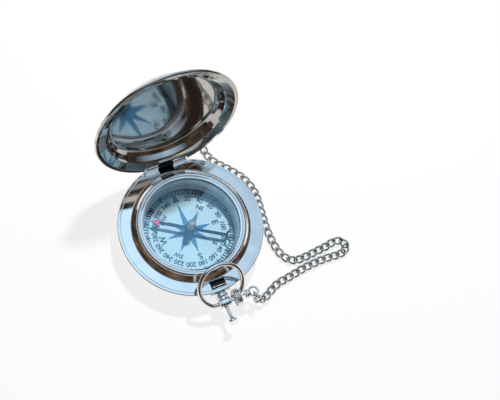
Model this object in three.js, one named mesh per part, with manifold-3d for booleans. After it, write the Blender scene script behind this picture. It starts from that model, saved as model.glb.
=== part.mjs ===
// Pocket compass with a hinged lid, a push-button latch, a bow and a curb chain.
// Millimetres, +Z up. The origin is the middle of the flat back, with the hinge at +Y
// and the pendant at -Y. The lid is modelled shut and then turned open on its hinge.
import * as THREE from 'three';
import { mergeVertices } from 'three/addons/utils/BufferGeometryUtils.js';
import Module from 'manifold-3d';

const wasm = await Module();
wasm.setup();

// Clearances
const FIT = 0.1; // between pieces that are pressed or laid together
const RUN = 0.2; // round a piece that turns or slides
const SEAM = 0.3; // between the shut lid and the case

// Case
const WELL_RADIUS = 15.9;
const SEAT_WIDTH = 2.6; // ledge for the bezel, outside the well
const FLANGE_WIDTH = 4.0; // flat ring outside the bezel's seat
const FLANGE_TOP = 8.0;
const FLANGE_THICK = 1.1;
const FLANGE_EDGE = 0.3;
const GROOVE_INSET = 0.95;
const GROOVE_WIDTH = 0.24;
const GROOVE_DEPTH = 0.16;
const BOWL_WALL = 3.7;
const BACK_ROUND_WIDTH = 4.6;
const BACK_ROUND_HEIGHT = 4.4;
const FLOOR_THICK = 1.4;

// Bezel, crystal and inner ring
const BEZEL_FOOT_DEPTH = 0.55;
const BEZEL_RISE = 1.95;
const COVE_WIDTH = 1.65;
const COVE_SAG = 0.12; // hollow of the cove's slope
const BEZEL_ROUND = 0.6; // height of the rounded top over the cove
const BEZEL_LIP_WIDTH = 0.45; // over the crystal's edge
const BEZEL_LIP_THICK = 0.4;
const CRYSTAL_INSET = 0.6; // from the well's wall
const CRYSTAL_EDGE = 0.75;
const CRYSTAL_DOME = 1.85;
const RING_WALL_TOP = 0.6;
const RING_WALL_FOOT = 1.05;

// Dial, pivot and needle
const DIAL_DEPTH = 5.5; // flange top down to the printed face
const DIAL_THICK = 1.0;
const PIVOT_RADIUS = 0.45;
const PIVOT_POINT = 0.9;
const NEEDLE_LIFT = 2.4; // dial face up to the underside of the needle
const NEEDLE_THICK = 0.25;
const NEEDLE_HEADING = 148.5; // degrees from +X
const TIP_GAP = 1.65; // needle's tip to the inner ring
const HORN_GAP = 0.55; // tail's horns to the inner ring
const ARROW_LENGTH = 3.4;
const ARROW_HALF = 1.55;
const BAR_HALF = 0.42;
const HUB_RADIUS = 1.75;
const TAIL_LENGTH = 2.3; // belly to horns
const TAIL_HALF = 2.4;
const TAIL_THICK = 0.75;
const CAP_RADIUS = 1.25;
const CAP_HEIGHT = 4.8;
const CAP_ROOF = 0.7;

// Lid
const LID_OPEN = 98.8; // degrees from shut
const LID_RIM_THICK = 0.8;
const LID_LAND = 1.3; // flat edge of the rim
const LID_DISH = 1.0; // rim's slope up to the mouth
const LID_BEVEL_WIDTH = 2.1;
const LID_BEVEL_HEIGHT = 2.5;
const LID_STEP_INSET = 0.2; // dome's foot inside the mouth
const LID_STEP_HEIGHT = 3.6;
const LID_CROWN_INSET = 0.8; // crown's rim inside the mouth
const LID_CROWN_HEIGHT = 4.9;
const LID_HEIGHT = 6.6;
const LID_MOUTH_GAP = 0.6; // round the bezel's foot
const LID_BOWL_TAPER = 1.2; // mouth to the bowl's rim
const LID_BOWL_START = 3.3;
const LID_FLOOR_INSET = 1.0; // nearly flat floor inside the bowl's rim
const LID_FLOOR_HEIGHT = 4.3;
const LID_FLOOR_CROWN = 0.4;

// Hinge
const HINGE_INSET = 1.1; // axis inside the flange's edge
const HINGE_RISE = 1.15; // axis above the flange
const KNUCKLE_RADIUS = 0.95;
const KNUCKLE_LENGTH = 4.4; // the lid's middle knuckle
const LUG_LENGTH = 4.2;
const PIN_RADIUS = 0.4;
const HEEL_LENGTH = 1.25;
const HEEL_HALF = 0.85;
const HINGE_POCKET_WALL = 0.4; // left outside the bezel's seat
const HINGE_SILL = 0.6; // flange left outside the hinge's block
const HINGE_POCKET_DEPTH = 1.9;
const HINGE_BLOCK_DEPTH = 2.8;
const HINGE_BLOCK_HALF = 4.2;
const SPRING_THICK = 0.25;
const SPRING_WIDTH = 2.4;

// Latch
const CATCH_WIDTH = 4.2;
const CATCH_TAB_INSET = 2.05; // upright's outer face inside the flange's edge
const CATCH_TAB_THICK = 0.6;
const CATCH_NOSE = 0.65;
const CATCH_NOSE_RISE = 0.9;
const CATCH_NOSE_THICK = 0.4;
const CATCH_PLATE_THICK = 1.05;
const CATCH_PLATE_DEPTH = 1.3; // flange top down to the plate
const CATCH_PLATE_INSET = 1.1;
const CATCH_PLATE_LENGTH = 2.2;
const PRESS_TRAVEL = 1.0;
const LATCH_BITE = 0.35; // nose over the lid's lip
const LATCH_LIP_THICK = 0.45;

// Pendant, plunger and bow
const PENDANT_REACH = 3.2; // block's face to the bow's pivot
const PENDANT_DROP = 1.8; // below the flange top
const PENDANT_BLOCK_HALF = 3.2;
const PENDANT_BLOCK_STAND = 0.1; // block past the flange's edge
const PENDANT_BLOCK_DEPTH = 3.4;
const NECK_RADIUS = 1.65;
const NECK_COLLAR = 2.05;
const BARREL_RADIUS = 1.6;
const BARREL_HALF = 1.9;
const ROD_RADIUS = 0.55;
const BUTTON_RADIUS = 1.4;
const ROD_REACH = 4.6; // bow's pivot to the button
const BUTTON_LENGTH = 1.9;
const BOW_LEAN = 46; // degrees up from level, over the flange
const BOW_RADIUS = 7.0;
const BOW_DROP = 0.9; // the ring's foot below its pivot
const BOW_WIRE = 0.68; // radius

// Clip and chain
const LOOP_X = 4.2;
const LOOP_RADIUS = 2.6;
const LOOP_WIRE = 0.4;
const SWIVEL_X = 6.45;
const SWIVEL_RADIUS = 1.5;
const SWIVEL_REACH = 1.75; // collar to the eye's wire
const EYE_RADIUS = 1.4;
const EYE_WIRE = 0.4;
const EYE_HEADING = -85; // where the first link hangs on the eye, degrees from +X
const LINK_LENGTH = 3.9;
const LINK_WIDTH = 2.9;
const LINK_WIRE = 0.75;
const LINK_BITE = 0.16; // how far neighbouring links press into each other
const LINK_ROLL = 45;
const CHAIN_REST = 1.02; // middle of a link above the table
const BAR_LENGTH = 15;
const BAR_RADIUS = 0.65;
const BAR_EYE_RADIUS = 0.95;
const BAR_EYE_WIRE = 0.32;

// Facets
const TURNED_SIDES = 36;
const SMALL_SIDES = 16;

const seatRadius = WELL_RADIUS + SEAT_WIDTH;
const flangeRadius = seatRadius + FLANGE_WIDTH;
const bowlRadius = WELL_RADIUS + BOWL_WALL;
const bezelFootRadius = seatRadius - FIT;
const bezelNeckRadius = bezelFootRadius - COVE_WIDTH;
const crystalRadius = WELL_RADIUS - CRYSTAL_INSET;
const bezelLipRadius = crystalRadius - BEZEL_LIP_WIDTH;
const dialRadius = crystalRadius - RING_WALL_FOOT;
const lidMouthRadius = bezelFootRadius + LID_MOUTH_GAP;
const lidBowlRadius = lidMouthRadius - LID_BOWL_TAPER;
const hingeY = flangeRadius - HINGE_INSET;
const pocketFront = seatRadius + HINGE_POCKET_WALL;
const pocketBack = flangeRadius - HINGE_SILL;
const catchTabY = CATCH_TAB_INSET - flangeRadius;
const catchPlateOuter = CATCH_PLATE_INSET - flangeRadius;
const catchPlateInner = catchPlateOuter + CATCH_PLATE_LENGTH;
const pendantFace = -flangeRadius - PENDANT_BLOCK_STAND;
const pendantY = pendantFace - PENDANT_REACH;
const buttonStart = pendantY - ROD_REACH;
const buttonEnd = buttonStart - BUTTON_LENGTH;
const hingeZ = FLANGE_TOP + HINGE_RISE;
const pendantZ = FLANGE_TOP - PENDANT_DROP;
const dialTop = FLANGE_TOP - DIAL_DEPTH;
const needleFoot = dialTop + NEEDLE_LIFT;
const needleTop = needleFoot + NEEDLE_THICK;
const bezelTop = FLANGE_TOP + BEZEL_RISE;
const crystalSeatTop = bezelTop - BEZEL_LIP_THICK - FIT;
const crystalFoot = crystalSeatTop - CRYSTAL_EDGE;
const radians = THREE.MathUtils.degToRad;

// Shared shapes

function metal(color, roughness = 0.12) {
  return new THREE.MeshStandardMaterial({ color, roughness, metalness: 1 });
}

const nickel = metal(0xd6dde2);
const steel = metal(0x6f7c88, 0.3);
const brass = metal(0xc79a72, 0.3);

// Leaves only shared corners and drops the flat triangles at a turned piece's axis.
function weld(geometry) {
  const bare = new THREE.BufferGeometry();
  bare.setAttribute('position', geometry.getAttribute('position').clone());
  if (geometry.index) bare.setIndex(geometry.index.clone());
  const merged = mergeVertices(bare, 1e-4);
  const kept = [];
  const index = merged.index.array;
  for (let i = 0; i < index.length; i += 3) {
    const [a, b, c] = [index[i], index[i + 1], index[i + 2]];
    if (a !== b && b !== c && c !== a) kept.push(a, b, c);
  }
  merged.setIndex(kept);
  return merged;
}

function solid(geometry) {
  const welded = weld(geometry);
  return new wasm.Manifold(new wasm.Mesh({
    numProp: 3,
    vertProperties: new Float32Array(welded.getAttribute('position').array),
    triVerts: new Uint32Array(welded.index.array),
  }));
}

function geometryOf(body) {
  const mesh = body.getMesh();
  const geometry = new THREE.BufferGeometry();
  geometry.setAttribute('position', new THREE.BufferAttribute(mesh.vertProperties, 3));
  geometry.setIndex(new THREE.BufferAttribute(mesh.triVerts, 1));
  return geometry;
}

function piece(name, shape, material) {
  const geometry = shape.isBufferGeometry ? weld(shape) : geometryOf(shape);
  geometry.computeVertexNormals();
  const mesh = new THREE.Mesh(geometry, material);
  mesh.name = name;
  return mesh;
}

// Turns a profile of [radius, height] points round Z.
function turned(profile, sides = TURNED_SIDES) {
  let area = 0;
  profile.forEach(([r, z], i) => {
    const [r2, z2] = profile[(i + 1) % profile.length];
    area += r * z2 - r2 * z;
  });
  const ordered = area > 0 ? profile : [...profile].reverse();
  const points = ordered.map(([r, z]) => new THREE.Vector2(r, z));
  if (ordered.every(([r]) => r > 0)) points.push(points[0].clone());
  return new THREE.LatheGeometry(points, sides).rotateX(Math.PI / 2);
}

const alongX = (geometry) => geometry.rotateY(Math.PI / 2);
const alongY = (geometry) => geometry.rotateX(Math.PI / 2);

function block(x0, x1, y0, y1, z0, z1) {
  const box = new THREE.BoxGeometry(x1 - x0, y1 - y0, z1 - z0);
  return solid(box.translate((x0 + x1) / 2, (y0 + y1) / 2, (z0 + z1) / 2));
}

function rodX(radius, x0, x1, y, z, sides = SMALL_SIDES) {
  const rod = alongX(new THREE.CylinderGeometry(radius, radius, x1 - x0, sides).rotateX(Math.PI / 2));
  return solid(rod.translate((x0 + x1) / 2, y, z));
}

function rodY(radius, y0, y1, x, z, sides = SMALL_SIDES) {
  const rod = new THREE.CylinderGeometry(radius, radius, y1 - y0, sides);
  return solid(rod.translate(x, (y0 + y1) / 2, z));
}

// Points of an arc of an ellipse, from one angle to another in degrees.
function arc(cr, cz, rr, rz, from, to, steps) {
  return Array.from({ length: steps + 1 }, (_, i) => {
    const a = radians(from + (to - from) * i / steps);
    return [cr + rr * Math.cos(a), cz + rz * Math.sin(a)];
  });
}

// Points of a shallow dome from its rim to its apex on the axis.
function dome(radius, rim, apex, steps) {
  const sag = apex - rim;
  const ball = (radius * radius + sag * sag) / (2 * sag);
  return Array.from({ length: steps + 1 }, (_, i) => {
    const r = radius * (1 - i / steps);
    return [r, apex - ball + Math.sqrt(ball * ball - r * r)];
  });
}

function wire(path, radius, steps, sides = 8) {
  const section = new THREE.Shape();
  section.absarc(0, 0, radius, 0, 2 * Math.PI);
  return new THREE.ExtrudeGeometry(section, { steps, curveSegments: sides / 2, extrudePath: path });
}

// Case

const seatFloor = FLANGE_TOP - BEZEL_FOOT_DEPTH;
const flangeUnder = FLANGE_TOP - FLANGE_THICK;
const channelFloor = FLANGE_TOP - CATCH_PLATE_DEPTH - CATCH_PLATE_THICK - RUN;
const catchHalf = CATCH_WIDTH / 2;
const slotHalf = catchHalf + SEAM;
const noseTip = catchTabY - CATCH_NOSE;
const tabInner = catchTabY + CATCH_TAB_THICK;

function caseBowl() {
  const top = FLANGE_TOP;
  const groove = GROOVE_WIDTH / 2;
  const grooveRadius = flangeRadius - GROOVE_INSET;
  const backRadius = bowlRadius - BACK_ROUND_WIDTH;
  const profile = [
    [0, 0],
    ...arc(backRadius, BACK_ROUND_HEIGHT, BACK_ROUND_WIDTH, BACK_ROUND_HEIGHT, -90, 0, 4),
    [bowlRadius, flangeUnder],
    [flangeRadius - FLANGE_EDGE, flangeUnder],
    [flangeRadius, flangeUnder + FLANGE_EDGE],
    [flangeRadius, top - FLANGE_EDGE],
    [flangeRadius - FLANGE_EDGE, top],
    [grooveRadius + groove, top],
    [grooveRadius, top - GROOVE_DEPTH],
    [grooveRadius - groove, top],
    [seatRadius, top],
    [seatRadius, seatFloor],
    [WELL_RADIUS, seatFloor],
    [WELL_RADIUS, FLOOR_THICK],
    [0, FLOOR_THICK],
  ];
  const under = flangeUnder + FIT;
  const hingeBlock = block(
    -HINGE_BLOCK_HALF, HINGE_BLOCK_HALF, bowlRadius - 2, pocketBack, top - HINGE_BLOCK_DEPTH, under);
  const pendantBlock = block(
    -PENDANT_BLOCK_HALF, PENDANT_BLOCK_HALF, pendantFace, 2 - bowlRadius,
    top - PENDANT_BLOCK_DEPTH, under);
  const pocketHalf = KNUCKLE_LENGTH / 2 + RUN;
  const hingePocket = block(
    -pocketHalf, pocketHalf, pocketFront, pocketBack - 2 * FIT, top - HINGE_POCKET_DEPTH, top + 1);
  const channel = block(
    -slotHalf, slotHalf, catchPlateOuter - SEAM, catchPlateInner + PRESS_TRAVEL + SEAM,
    channelFloor, flangeUnder + FIT);
  const slot = block(
    -slotHalf, slotHalf, noseTip - RUN, tabInner + PRESS_TRAVEL + RUN, flangeUnder, top + 1);
  const rodBore = rodY(ROD_RADIUS + RUN, pendantFace - 1, catchPlateOuter, 0, pendantZ);
  return solid(turned(profile))
    .add(hingeBlock).add(pendantBlock)
    .subtract(hingePocket).subtract(channel).subtract(slot).subtract(rodBore);
}

// Bezel: a cove runs up from the flange to a rounded ring that holds the crystal's edge.
function bezelRing() {
  const foot = seatFloor + FIT;
  const coveHigh = BEZEL_RISE - BEZEL_ROUND;
  const bore = crystalRadius + FIT;
  const cove = [
    [bezelFootRadius, FLANGE_TOP],
    [bezelFootRadius - COVE_WIDTH / 2, FLANGE_TOP + coveHigh / 2 - COVE_SAG],
    [bezelNeckRadius, FLANGE_TOP + coveHigh],
  ];
  return turned([
    [bore, foot],
    [bezelFootRadius, foot],
    ...cove,
    [bezelNeckRadius - 0.2, bezelTop - 0.2],
    [bezelNeckRadius - 0.75, bezelTop],
    [bezelLipRadius + 0.5, bezelTop],
    [bezelLipRadius, bezelTop - 0.15],
    [bezelLipRadius, bezelTop - BEZEL_LIP_THICK],
    [bore, bezelTop - BEZEL_LIP_THICK],
  ]);
}

function crystal() {
  const clear = bezelLipRadius - RUN;
  const inside = clear - CRYSTAL_EDGE;
  const outer = dome(clear, crystalSeatTop, crystalSeatTop + CRYSTAL_DOME, 4);
  const inner = dome(inside, crystalFoot, crystalFoot + CRYSTAL_DOME, 4);
  return turned([
    ...inner.reverse(),
    [crystalRadius, crystalFoot],
    [crystalRadius, crystalSeatTop],
    ...outer,
  ]);
}

// Plain wall between the crystal and the dial, a little narrower at its foot.
function innerRing() {
  const outer = crystalRadius;
  return turned([
    [outer - RING_WALL_FOOT, dialTop + FIT],
    [outer, dialTop + FIT],
    [outer, crystalFoot - FIT],
    [outer - RING_WALL_TOP, crystalFoot - FIT],
  ]);
}

function dialPlate() {
  const hole = PIVOT_RADIUS + RUN;
  const edge = WELL_RADIUS - FIT;
  return turned([
    [hole, dialTop - DIAL_THICK],
    [edge, dialTop - DIAL_THICK],
    [edge, dialTop],
    [hole, dialTop],
  ]);
}

// Needle

const capTop = needleTop + CAP_HEIGHT;
const capBore = PIVOT_RADIUS + 2 * RUN;
const pivotTop = capTop - CAP_ROOF - FIT;

function pivotPost() {
  return turned([
    [0, FLOOR_THICK + FIT / 2],
    [PIVOT_RADIUS, FLOOR_THICK + FIT / 2],
    [PIVOT_RADIUS, pivotTop - PIVOT_POINT],
    [0, pivotTop],
  ], SMALL_SIDES);
}

function needleBar() {
  const shape = new THREE.Shape();
  const tip = dialRadius - TIP_GAP;
  const arrowBack = tip - ARROW_LENGTH;
  const horn = Math.sqrt((dialRadius - HORN_GAP) ** 2 - TAIL_HALF ** 2);
  const belly = horn - TAIL_LENGTH;
  const bend = Math.asin(BAR_HALF / HUB_RADIUS);
  shape.moveTo(tip, 0);
  shape.lineTo(arrowBack, ARROW_HALF);
  shape.lineTo(arrowBack + 0.5, BAR_HALF);
  shape.lineTo(HUB_RADIUS * Math.cos(bend), BAR_HALF);
  shape.absarc(0, 0, HUB_RADIUS, bend, Math.PI - bend, false);
  shape.lineTo(-belly, BAR_HALF);
  shape.quadraticCurveTo(-belly - 0.2, TAIL_HALF * 0.75, -horn, TAIL_HALF);
  shape.quadraticCurveTo(-belly - TAIL_THICK, TAIL_HALF * 0.6, -belly - TAIL_THICK, 0);
  shape.quadraticCurveTo(-belly - TAIL_THICK, -TAIL_HALF * 0.6, -horn, -TAIL_HALF);
  shape.quadraticCurveTo(-belly - 0.2, -TAIL_HALF * 0.75, -belly, -BAR_HALF);
  shape.lineTo(-HUB_RADIUS * Math.cos(bend), -BAR_HALF);
  shape.absarc(0, 0, HUB_RADIUS, Math.PI + bend, 2 * Math.PI - bend, false);
  shape.lineTo(arrowBack + 0.5, -BAR_HALF);
  shape.lineTo(arrowBack, -ARROW_HALF);
  const hole = new THREE.Path();
  hole.absarc(0, 0, capBore, 0, 2 * Math.PI, true);
  shape.holes.push(hole);
  return new THREE.ExtrudeGeometry(shape, { depth: NEEDLE_THICK, bevelEnabled: false, curveSegments: 6 });
}

function needleCap() {
  const foot = needleTop + FIT / 2;
  return turned([
    [0, capTop - CAP_ROOF],
    [capBore, capTop - CAP_ROOF - capBore / 2],
    [capBore, foot],
    [CAP_RADIUS, foot],
    [CAP_RADIUS, capTop - 0.25],
    [CAP_RADIUS - 0.25, capTop],
    [0, capTop],
  ], SMALL_SIDES);
}

// Lid, shut

const lidFoot = FLANGE_TOP + SEAM;
const lugOuter = KNUCKLE_LENGTH / 2 + SEAM + LUG_LENGTH;
const notchHalf = lugOuter + 2 * RUN;
const notchFront = hingeY - KNUCKLE_RADIUS - 0.55;

function lidShell() {
  const f = FLANGE_TOP;
  const bevelRadius = flangeRadius - LID_BEVEL_WIDTH;
  const stepRadius = lidMouthRadius - LID_STEP_INSET;
  const crownRadius = lidMouthRadius - LID_CROWN_INSET;
  const floorRadius = lidBowlRadius - LID_FLOOR_INSET;
  const floorRim = f + LID_FLOOR_HEIGHT;
  const profile = [
    ...dome(floorRadius, floorRim, floorRim + LID_FLOOR_CROWN, 3).reverse(),
    [lidBowlRadius, f + LID_BOWL_START],
    [lidMouthRadius - 0.4, lidFoot + LID_DISH + 0.4],
    [lidMouthRadius, lidFoot + LID_DISH],
    [flangeRadius - LID_LAND, lidFoot],
    [flangeRadius - FLANGE_EDGE, lidFoot],
    [flangeRadius, lidFoot + FLANGE_EDGE],
    [flangeRadius, lidFoot + LID_RIM_THICK],
    [bevelRadius, f + LID_BEVEL_HEIGHT],
    [(bevelRadius + stepRadius) / 2 - 0.25, f + (LID_BEVEL_HEIGHT + LID_STEP_HEIGHT) / 2 - 0.15],
    [stepRadius, f + LID_STEP_HEIGHT],
    ...dome(crownRadius, f + LID_CROWN_HEIGHT, f + LID_HEIGHT, 4),
  ];
  const notch = block(-notchHalf, notchHalf, notchFront, flangeRadius + 1, f - 1, f + LID_HEIGHT);
  const half = KNUCKLE_LENGTH / 2;
  const knuckle = rodX(KNUCKLE_RADIUS, -half, half, hingeY, hingeZ);
  const tongue = block(-half, half, notchFront - 0.9, hingeY, hingeZ - 0.7, hingeZ + 0.55);
  const heel = block(
    -half, half, hingeY - HEEL_HALF, hingeY + HEEL_HALF, hingeZ, hingeZ + HEEL_LENGTH);
  const pinHole = rodX(PIN_RADIUS + RUN, -half - 1, half + 1, hingeY, hingeZ);
  const lipEdge = noseTip + LATCH_BITE;
  const lipTop = lidFoot + LATCH_LIP_THICK;
  const mouth = lidBowlRadius - 0.5;
  const noseHalf = slotHalf + RUN;
  const lipCut = block(-noseHalf, noseHalf, lipEdge, -mouth, f, lipTop + FIT);
  const noseCut = block(
    -noseHalf, noseHalf, noseTip - SEAM, -mouth, lipTop, f + CATCH_NOSE_RISE + CATCH_NOSE_THICK + RUN);
  return solid(turned(profile))
    .subtract(notch).add(tongue).add(knuckle).add(heel).subtract(pinHole)
    .subtract(lipCut).subtract(noseCut);
}

// Hinge lugs on the flange, their pin and the leaf that lifts the lid

function hingeLug(side) {
  const inner = KNUCKLE_LENGTH / 2 + SEAM;
  const [x0, x1] = side < 0 ? [-lugOuter, -inner] : [inner, lugOuter];
  const foot = block(x0, x1, hingeY - KNUCKLE_RADIUS, hingeY + 0.1, FLANGE_TOP + FIT / 2, hingeZ);
  return foot
    .add(rodX(KNUCKLE_RADIUS, x0, x1, hingeY, hingeZ))
    .subtract(rodX(PIN_RADIUS + FIT, x0 - 1, x1 + 1, hingeY, hingeZ));
}

function liftSpring() {
  const floor = FLANGE_TOP - HINGE_POCKET_DEPTH + FIT;
  const wall = pocketFront + FIT;
  const t = SPRING_THICK;
  const back = pocketBack - 0.5;
  const leaf = new THREE.Shape();
  leaf.moveTo(back, floor);
  leaf.lineTo(wall + 0.6, floor);
  leaf.quadraticCurveTo(wall, floor, wall, floor + 0.6);
  leaf.lineTo(wall + 0.25, FLANGE_TOP - 0.3);
  leaf.lineTo(wall + 0.25 + t, FLANGE_TOP - 0.3);
  leaf.lineTo(wall + t, floor + 0.6);
  leaf.quadraticCurveTo(wall + t, floor + t, wall + 0.6, floor + t);
  leaf.lineTo(back, floor + t);
  return profileAcross(leaf, SPRING_WIDTH);
}

// Sweeps an outline drawn in Y and Z along X.
function profileAcross(shape, width) {
  const swept = new THREE.ExtrudeGeometry(shape, { depth: width, bevelEnabled: false, curveSegments: 4 });
  const turn = new THREE.Matrix4().makeBasis(
    new THREE.Vector3(0, 1, 0), new THREE.Vector3(0, 0, 1), new THREE.Vector3(1, 0, 0));
  return swept.applyMatrix4(turn).translate(-width / 2, 0, 0);
}

// Latch: a sliding plate under the flange, an upright through the slot and a nose over the lid's lip

function latchCatch() {
  const plateTop = FLANGE_TOP - CATCH_PLATE_DEPTH;
  const plateFoot = plateTop - CATCH_PLATE_THICK;
  const noseFoot = FLANGE_TOP + CATCH_NOSE_RISE;
  const noseTop = noseFoot + CATCH_NOSE_THICK;
  const hook = new THREE.Shape();
  hook.moveTo(catchPlateOuter, plateFoot);
  hook.lineTo(catchPlateInner, plateFoot);
  hook.lineTo(catchPlateInner, plateTop);
  hook.lineTo(tabInner, plateTop);
  hook.lineTo(tabInner, noseTop);
  hook.lineTo(noseTip + 0.25, noseTop);
  hook.lineTo(noseTip, noseFoot);
  hook.lineTo(catchTabY, noseFoot);
  hook.lineTo(catchTabY, plateTop);
  hook.lineTo(catchPlateOuter, plateTop);
  return profileAcross(hook, CATCH_WIDTH);
}

// Pendant, plunger and bow

function pendantNeck() {
  const start = -pendantFace + FIT / 2;
  const end = -pendantY;
  const collar = start + 0.75;
  const bore = ROD_RADIUS + RUN;
  const tube = turned([
    [bore, start],
    [NECK_RADIUS + 0.25, start],
    [NECK_RADIUS, start + 0.35],
    [NECK_RADIUS, collar - 0.2],
    [NECK_COLLAR, collar],
    [NECK_COLLAR, collar + 0.55],
    [NECK_RADIUS - 0.15, collar + 0.75],
    [NECK_RADIUS - 0.15, end],
    [bore, end],
  ], SMALL_SIDES);
  const neck = solid(alongY(tube).translate(0, 0, pendantZ));
  return neck.subtract(rodX(BARREL_RADIUS + FIT, -2 * NECK_COLLAR, 2 * NECK_COLLAR, pendantY, pendantZ));
}

function pendantBarrel() {
  const r = BARREL_RADIUS;
  const h = BARREL_HALF;
  const half = [[r - 0.45, h], [r - 0.15, h - 0.2], [r - 0.15, h - 0.45], [r - 0.4, h - 0.6], [r, h - 0.8]];
  const profile = [[0, -h], ...half.map(([a, b]) => [a, -b]), ...half.slice().reverse(), [0, h]];
  const socket = BOW_WIRE + RUN;
  return solid(alongX(turned(profile, SMALL_SIDES)).translate(0, pendantY, pendantZ))
    .subtract(rodY(ROD_RADIUS + RUN, pendantY - 2 * BARREL_RADIUS, pendantY + 2 * BARREL_RADIUS, 0, pendantZ))
    .subtract(rodX(socket, h - 0.85, h + 1, pendantY, pendantZ))
    .subtract(rodX(socket, -h - 1, 0.85 - h, pendantY, pendantZ));
}

function pushRod() {
  return rodY(ROD_RADIUS, buttonStart + FIT / 2, catchPlateOuter - FIT, 0, pendantZ, 12);
}

function pushButton() {
  const flare = turned([
    [0, -buttonStart],
    [ROD_RADIUS, -buttonStart],
    [ROD_RADIUS + 0.15, -buttonStart + 0.5],
    [BUTTON_RADIUS, -buttonEnd - 0.65],
    [BUTTON_RADIUS, -buttonEnd - 0.25],
    [BUTTON_RADIUS - 0.4, -buttonEnd],
    [0, -buttonEnd],
  ], SMALL_SIDES);
  return alongY(flare).translate(0, 0, pendantZ);
}

// Bow: a nearly closed ring of wire whose ends turn in along the pivot.
function bowRing() {
  const points = [];
  const reach = BOW_RADIUS - BOW_DROP;
  const gap = Math.acos(reach / BOW_RADIUS) + radians(4);
  const count = 26;
  const stub = [BARREL_HALF - 0.7, BARREL_HALF + 0.35];
  stub.forEach((x) => points.push(new THREE.Vector3(-x, 0, 0)));
  for (let i = 0; i <= count; i += 1) {
    const a = gap + (2 * Math.PI - 2 * gap) * i / count;
    points.push(new THREE.Vector3(-BOW_RADIUS * Math.sin(a), reach - BOW_RADIUS * Math.cos(a), 0));
  }
  stub.reverse().forEach((x) => points.push(new THREE.Vector3(x, 0, 0)));
  return wire(new THREE.CatmullRomCurve3(points), BOW_WIRE, 44);
}

// Clip: a loop round the bow's wire, an arm under the bow's path and a swivel with an eye

function clipHook() {
  const loop = new THREE.TorusGeometry(LOOP_RADIUS, LOOP_WIRE, 6, 20).rotateY(Math.PI / 2);
  const down = radians(-75);
  const path = new THREE.CatmullRomCurve3([
    new THREE.Vector3(LOOP_X, LOOP_RADIUS * Math.cos(down), LOOP_RADIUS * Math.sin(down)),
    new THREE.Vector3(LOOP_X + 1.1, 0.55, -2.15),
    new THREE.Vector3(SWIVEL_X + 0.25, 0.2, -0.7),
  ]);
  const collar = turned([
    [0, SWIVEL_X], [SWIVEL_RADIUS, SWIVEL_X], [SWIVEL_RADIUS, SWIVEL_X + 0.5], [0, SWIVEL_X + 0.5],
  ], SMALL_SIDES);
  return solid(loop.translate(LOOP_X, 0, 0))
    .add(solid(wire(path, LOOP_WIRE, 6)))
    .add(solid(alongX(collar)));
}

const eyeX = SWIVEL_X + SWIVEL_REACH + EYE_RADIUS;

function clipSwivel() {
  const s = SWIVEL_X + 0.5 + RUN;
  const r = SWIVEL_RADIUS;
  const barrel = turned([
    [0, s], [r, s], [r, s + 0.4], [r - 0.4, s + 0.5], [r - 0.4, s + 0.75], [r, s + 0.85],
    [r - 0.1, s + 1.15], [0.6, s + 1.35], [0.5, eyeX - EYE_RADIUS], [0, eyeX - EYE_RADIUS],
  ], SMALL_SIDES);
  const eye = new THREE.TorusGeometry(EYE_RADIUS, EYE_WIRE, 6, 16).translate(eyeX, 0, 0);
  return solid(alongX(barrel)).add(solid(eye));
}

// Chain: oval links, each leaning the other way from the last, pressed together where they pass
// through one another. The middle of each joint lies on the chain's route.

const linkStraight = (LINK_LENGTH - LINK_WIDTH) / 2;
const linkRound = (LINK_WIDTH - LINK_WIRE) / 2;
const linkSteps = 8;
const linkReach = linkStraight + (linkRound - LINK_WIRE / 2) * Math.cos(Math.PI / linkSteps);
const linkPitch = 2 * linkReach + LINK_BITE;

// The first link hangs down from the clip's eye with a small gap round the eye's wire.
const hang = new THREE.Vector3(0.25, -0.25, -0.935).normalize();
const eyeTurn = radians(EYE_HEADING);
const chainStart = new THREE.Vector3(
  eyeX + EYE_RADIUS * Math.cos(eyeTurn), pendantY + EYE_RADIUS * Math.sin(eyeTurn), pendantZ,
).addScaledVector(hang, -EYE_WIRE - SEAM);

// Where the chain runs: down to the table, out in a long loop, past the case and behind the lid.
const chainRoute = [
  chainStart,
  chainStart.clone().addScaledVector(hang, linkPitch * 1.1),
  ...[
    [10.9, -28.35, CHAIN_REST + 1.5], [12.7, -28.4, CHAIN_REST + 0.3], [15.6, -27.1], [19, -25.4],
    [23.6, -24.8], [30.1, -23.8], [35.6, -23.5], [40.6, -23.7], [43.7, -24], [46.2, -21.8],
    [44.2, -19.2], [40.6, -19.8], [36, -20.2], [31.6, -20.6], [27.4, -20.4], [24.6, -17.2],
    [23.8, -11.6], [24.1, -6], [25, -0.4], [25.7, 5.2], [24.6, 10.4], [21.4, 15.3], [17.4, 20],
    [15.8, 24.6], [17.4, 29.2], [16.4, 32.6], [12, 33.6], [4, 33.2], [-4, 33], [-9, 34.4], [-9.6, 37.8],
    [-4.4, 39], [4, 39], [12, 39.2], [18, 39.8], [21.4, 42.2], [21.6, 46.5],
  ].map(([x, y, z = CHAIN_REST]) => new THREE.Vector3(x, y, z)),
];

function linkBody() {
  const link = new THREE.TorusGeometry(linkRound, LINK_WIRE / 2, 4, linkSteps).rotateZ(Math.PI / linkSteps);
  const spots = link.getAttribute('position');
  for (let i = 0; i < spots.count; i += 1) {
    const x = spots.getX(i);
    spots.setX(i, x + Math.sign(x) * linkStraight);
  }
  return solid(link);
}

// Walks along the route in equal straight steps of one pitch.
function chainJoints() {
  const curve = new THREE.CatmullRomCurve3(chainRoute, false, 'centripetal');
  const fine = curve.getPoints(chainRoute.length * 60);
  const joints = [fine[0].clone()];
  for (const spot of fine) {
    const last = joints[joints.length - 1];
    const gap = spot.distanceTo(last);
    if (gap >= linkPitch) joints.push(last.clone().lerp(spot, linkPitch / gap));
  }
  return joints;
}

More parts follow.
